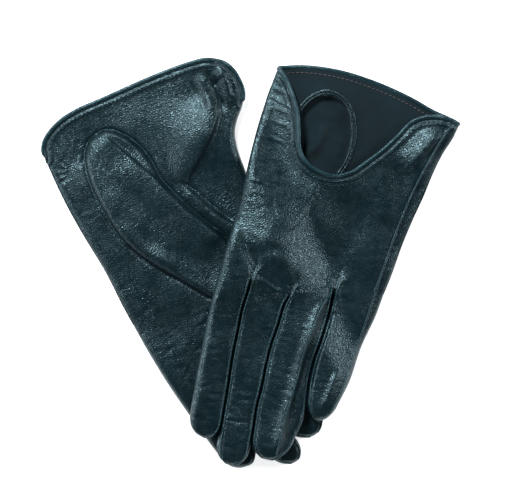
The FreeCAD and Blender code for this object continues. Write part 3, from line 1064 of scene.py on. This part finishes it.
def build_welt(glove):
    """The seam allowance round the thumb hole, inside the palm, with its row of stitches."""
    heap = Heap()
    for grow, radius, flat, lift in ((0.3, 0.6, 0.9, 0.45), (1.7, 1.0, 0.35, 0.15)):
        x, y = oval_path(grow)
        if glove.palm_up:
            z = hand_top(glove, x, y) - LEATHER_THICK - lift
        else:
            z = lower_inside(glove, x, y) + lift
        heap.add(*tube(glove.points(x, y, z), radius * MM, 8, flat, closed=True))
    x, y = oval_path(1.5)
    z = hand_top(glove, x, y) - 1.2 if glove.palm_up else lower_inside(glove, x, y) + 0.75
    add_stitches(heap, glove.points(x, y, z), 2.2 * MM, 1.3 * MM, 0.35 * MM)
    # The welt takes the darker fourchette copy of the leather: painted shade round the thumb hole
    made = heap.build(f"{glove.side}_thumb_hole_welt", [material("fourchette"), material("thread")],
                      f"{glove.side}_hand")
    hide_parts(f"{glove.side}_thumb_seam_welt")
    return made


def build_thumb_seam(glove):
    """The seam that sets the thumb into the palm, as a thin raised line with stitches across it."""
    heap = Heap()
    low, high = (smooth_path(e, 1.0) for e in THUMB_EDGES[glove.side])
    for path in (low, high):
        x, y = path[path[:, 1] > 58].T
        if glove.palm_up:
            z = hand_top(glove, x, y) + 0.1
        else:
            z = lay(glove, x, y) - 0.3
        add_seam(heap, glove.points(x, y, z), stitch_width=0.32)
    # The seam ridges use the lighter binding leather: painted highlight
    made = heap.build(f"{glove.side}_thumb_seam", [material("binding"), material("thread")])
    swing(made, glove)
    return made


# ---------------------------------------------------------------- cuffs


def even(path, step):
    """A path in metres, resampled at even steps."""
    gone = along_path(path)
    at = np.linspace(0, gone[-1], int(gone[-1] / step) + 1)
    return np.stack([np.interp(at, gone, path[:, k]) for k in range(3)], axis=1)


def build_binding(glove, layer):
    """The binding of one cuff edge: a narrow strip folded over the edge, so its section is an oval."""
    settings = bpy.context.scene.glove_sewing
    top = (layer == "palm") == glove.palm_up
    x, y, z = hand_layers(glove)[0 if top else 1]
    drop = -0.15 if top else 0.55
    x, y, z = x[-1], y[-1], z[-1]
    if glove.palm_up and layer == "palm":
        more_x, more_y = smooth_path([(x[-1], y[-1])] + TURNED_CORNER, 1.0)[2:].T
        x, y = np.append(x, more_x), np.append(y, more_y)
        z = np.append(z, hand_top(glove, more_x - 0.6, more_y) + curl(glove, more_x, more_y))
    path = even(glove.points(x, y, z + drop), 1.0 * MM)
    heap = Heap()
    heap.add(*tube(path, settings.binding * MM / 2, 10, 0.72))
    # The binding leather is the much lighter copy: a painted highlight along the binding's top
    made = heap.build(f"{glove.side}_{layer}_cuff_edge_binding", [material("binding")],
                      f"{glove.side}_hand")
    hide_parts(f"{glove.side}_{layer}_cuff_binding")
    return made


def inset_path(points, distance_in):
    """A curve moved square to itself towards the fingers."""
    path = smooth_path(points, 1.0)
    ahead = np.gradient(path, axis=0)
    ahead /= np.linalg.norm(ahead, axis=1)[:, None]
    return path + np.stack([ahead[:, 1], -ahead[:, 0]], axis=1) * distance_in


def on_top(glove, x, y):
    """Height of the finished upper layer near its cuff."""
    layer = "palm" if glove.palm_up else "back"
    near = distance(x, y, smooth_path(glove.hem_line(layer), 1.0))[0]
    return hand_top(glove, x, y) + hem(near) + curl(glove, x, y)


def build_hem_stitches(glove):
    """Rows of stitches that hold the cuff hems, on the upper layer and inside the lower one."""
    settings = bpy.context.scene.glove_sewing
    heap = Heap()
    upper_layer, lower_layer = ("palm", "back") if glove.palm_up else ("back", "palm")
    outer, inner = glove.hem_line(upper_layer), glove.cuff(lower_layer)
    rows = ((outer, 0.9, on_top, 0.36, 0), (outer, 3.1, on_top, 0.36, 0), (inner, 1.0, lower_inside, 0.4, 1))
    pitch = settings.hem_pitch * MM
    for edge, away, height, width, kind in rows:
        x, y = inset_path(edge, settings.binding + away)[4:-4].T
        line = glove.points(x, y, height(glove, x, y) + 0.1)
        add_stitches(heap, line, pitch, 0.66 * pitch, width * MM, kind=kind)
    made = heap.build(f"{glove.side}_cuff_hem_stitches", [material("thread"), material("hem_thread")],
                      f"{glove.side}_hand")
    return made


def build_side_seam(glove):
    """The long seam that closes the trank on the little finger's side, on the hand and down the finger."""
    made = []
    path = smooth_path(SIDE_SEAM, 0.8)
    parts = {"hand": path[:, 1] >= FINGER_ROOT, "little_finger": path[:, 1] <= FINGER_ROOT + 0.8}
    for part, keep in parts.items():
        x, y = path[keep].T
        if part == "hand":
            z = hand_top(glove, x, y) + curl(glove, x, y)
        else:
            z = finger_top(glove, "little", x, y)
        heap = Heap()
        add_seam(heap, glove.points(x, y, z + 0.05), 0.7, 0.32)
        # The seam ridges use the lighter binding leather: painted highlight
        piece = heap.build(f"{glove.side}_side_seam_{part}", [material("binding"), material("thread")])
        if part == "hand":
            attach(piece, f"{glove.side}_hand")
        else:
            bend(piece, glove, "little")
        made.append(piece)
    return made


def finger_top(glove, name, x, y):
    """Height of a finger's upper strip at points along it."""
    return upper(glove, x, y, finger_swell(x, y, *finger_outline(glove, name, y)), FINGER_THICK)


# ---------------------------------------------------------------- stage


# Softboxes: name, size, place, the point it faces, watts, colour.
SOFTBOXES = [
    ("key softbox", (0.30, 0.22), (-0.38, 0.76, 0.86), (0, 0.02, 0), 18, (0.86, 0.95, 1.0)),
    ("left softbox", (0.2, 0.5), (-1.0, 0.0, 0.45), (0, 0, 0), 6.0, (0.90, 0.96, 1.0)),
    ("front softbox", (0.6, 0.2), (0.1, -1.0, 0.35), (0, 0, 0), 2.5, (0.92, 0.97, 1.0)),
    ("right softbox", (0.2, 0.45), (0.95, 0.25, 0.50), (0, 0, 0), 6.0, (0.92, 0.97, 1.0)),
]


def build_stage():
    """A pale table, soft light from above and both sides, and a camera straight above the gloves."""
    scene = bpy.context.scene
    half = 1.5
    corners = [(-half, -half, 0), (half, -half, 0), (half, half, 0), (-half, half, 0)]
    floor = new_mesh("table", corners, [(0, 1, 2, 3)], [material("table")])
    world = bpy.data.worlds.new("studio")
    world.use_nodes = True
    sky = world.node_tree.nodes["Background"]
    sky.inputs["Color"].default_value = (0.80, 0.92, 1.0, 1)
    sky.inputs["Strength"].default_value = 0.05
    scene.world = world
    for name, size, place, aim, power, tint in SOFTBOXES:
        light = bpy.data.lights.new(name, "AREA")
        light.shape = "RECTANGLE"
        light.size, light.size_y = size
        light.energy = power
        light.color = tint
        lamp = bpy.data.objects.new(name, light)
        lamp.location = place
        towards = np.array(aim) - np.array(place)
        lamp.rotation_euler = Vector(towards).to_track_quat("-Z", "Y").to_euler()
        scene.collection.objects.link(lamp)
    scene.view_settings.view_transform = "Standard"
    settings = scene.glove_stage
    camera = bpy.data.objects.new("camera", bpy.data.cameras.new("camera"))
    camera.data.lens = settings.lens
    camera.data.sensor_width = 36.0
    camera.data.clip_end = 20
    height = settings.width / 36.0 * settings.lens + 0.008
    camera.location = (settings.centre[0], settings.centre[1], height)
    scene.collection.objects.link(camera)
    scene.camera = camera


# ---------------------------------------------------------------- add-on


class GloveLeatherSettings(bpy.types.PropertyGroup):
    """Colours and gloss of the leather and the thread."""

    colour: bpy.props.FloatVectorProperty(
        name="Leather", description="Outer colour of the leather", subtype="COLOR", size=3,
        default=(0.0018, 0.0076, 0.0097), min=0, max=1)
    inside: bpy.props.FloatVectorProperty(
        name="Inside", description="Colour of the raw inner side", subtype="COLOR", size=3,
        default=(0.0055, 0.0165, 0.021), min=0, max=1)
    hem_thread: bpy.props.FloatVectorProperty(
        name="Hem thread", description="Colour of the thread inside the palm's hem", subtype="COLOR", size=3,
        default=(0.11, 0.07, 0.075), min=0, max=1)
    gloss: bpy.props.FloatProperty(
        name="Roughness", description="Mean roughness of the smooth side", default=0.33, min=0, max=1)


class GloveSewingSettings(bpy.types.PropertyGroup):
    """Sizes of the seams, in millimetres."""

    ridge: bpy.props.FloatProperty(
        name="Seam width", description="Width of a raised seam, in millimetres", default=1.15,
        min=0.2, max=4)
    pitch: bpy.props.FloatProperty(
        name="Stitch pitch", description="From stitch to stitch along a finger, in millimetres",
        default=1.9, min=0.5, max=6)
    binding: bpy.props.FloatProperty(
        name="Binding width", description="Width of the cuff binding, in millimetres",
        default=2.1, min=0.5, max=6)
    hem_pitch: bpy.props.FloatProperty(
        name="Hem pitch", description="From stitch to stitch along a hem, in millimetres",
        default=2.4, min=0.5, max=6)


class GloveStageSettings(bpy.types.PropertyGroup):
    """Where the camera hangs over the table."""

    centre: bpy.props.FloatVectorProperty(
        name="Centre", description="The point of the table under the camera", subtype="TRANSLATION", size=2,
        default=(0.00392, 0.00952))
    width: bpy.props.FloatProperty(
        name="Width", description="Width of the table in view", subtype="DISTANCE", unit="LENGTH",
        default=0.2683, min=0.05, max=2)
    lens: bpy.props.FloatProperty(
        name="Lens", description="Focal length, in millimetres", default=200.0, min=20, max=400)


class GLOVES_OT_hands(bpy.types.Operator):
    """Build the hand of each glove's trank"""

    bl_idname = "gloves.hands"
    bl_label = "Hands"

    def execute(self, context):
        for glove in (RIGHT, LEFT):
            build_hand(glove)
        return {"FINISHED"}


class GLOVES_OT_fingers(bpy.types.Operator):
    """Build the fingers, their fourchettes and their seams"""

    bl_idname = "gloves.fingers"
    bl_label = "Fingers"

    def execute(self, context):
        for glove in (RIGHT, LEFT):
            for name, (_, opens, _, _) in FINGERS.items():
                build_finger(glove, name)
                build_finger_seams(glove, name)
                for side, is_open in zip(("thumb", "little"), opens):
                    if is_open:
                        build_fourchette(glove, name, side)
        return {"FINISHED"}


class GLOVES_OT_thumbs(bpy.types.Operator):
    """Build the thumbs, the seams that set them in and the welts inside"""

    bl_idname = "gloves.thumbs"
    bl_label = "Thumbs"

    def execute(self, context):
        for glove in (RIGHT, LEFT):
            build_thumb(glove)
            build_welt(glove)
            build_thumb_seam(glove)
        build_thumb_lining(LEFT)
        return {"FINISHED"}


class GLOVES_OT_cuffs(bpy.types.Operator):
    """Build the cuff bindings, the hem stitches and the side seams"""

    bl_idname = "gloves.cuffs"
    bl_label = "Cuffs and side seams"

    def execute(self, context):
        for glove in (RIGHT, LEFT):
            build_binding(glove, "palm")
            build_binding(glove, "back")
            build_hem_stitches(glove)
        build_side_seam(LEFT)
        return {"FINISHED"}


class GLOVES_OT_stage(bpy.types.Operator):
    """Build the table, the lights and the camera"""

    bl_idname = "gloves.stage"
    bl_label = "Stage"

    def execute(self, context):
        build_stage()
        return {"FINISHED"}


class GLOVES_PT_panel(bpy.types.Panel):
    """Sizes, colours and the build steps"""

    bl_label = "Leather driving gloves"
    bl_idname = "GLOVES_PT_panel"
    bl_space_type = "VIEW_3D"
    bl_region_type = "UI"
    bl_category = "Gloves"

    def draw(self, context):
        scene = context.scene
        for group in (scene.glove_leather, scene.glove_sewing, scene.glove_stage):
            box = self.layout.box()
            for key in group.bl_rna.properties.keys():
                if key not in ("rna_type", "name"):
                    box.prop(group, key)
        for step in STEPS:
            self.layout.operator(step.bl_idname)


SETTINGS = (("glove_leather", GloveLeatherSettings), ("glove_sewing", GloveSewingSettings),
            ("glove_stage", GloveStageSettings))
STEPS = (GLOVES_OT_hands, GLOVES_OT_fingers, GLOVES_OT_thumbs, GLOVES_OT_cuffs, GLOVES_OT_stage)


def register():
    for name, group in SETTINGS:
        bpy.utils.register_class(group)
        setattr(bpy.types.Scene, name, bpy.props.PointerProperty(type=group))
    for step in (*STEPS, GLOVES_PT_panel):
        bpy.utils.register_class(step)


def unregister():
    for step in (GLOVES_PT_panel, *reversed(STEPS)):
        bpy.utils.unregister_class(step)
    for name, group in reversed(SETTINGS):
        delattr(bpy.types.Scene, name)
        bpy.utils.unregister_class(group)


def main():
    register()
    bpy.ops.gloves.hands()
    bpy.ops.gloves.fingers()
    bpy.ops.gloves.thumbs()
    bpy.ops.gloves.cuffs()
    bpy.ops.gloves.stage()
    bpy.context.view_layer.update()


if __name__ == "__main__":
    main()
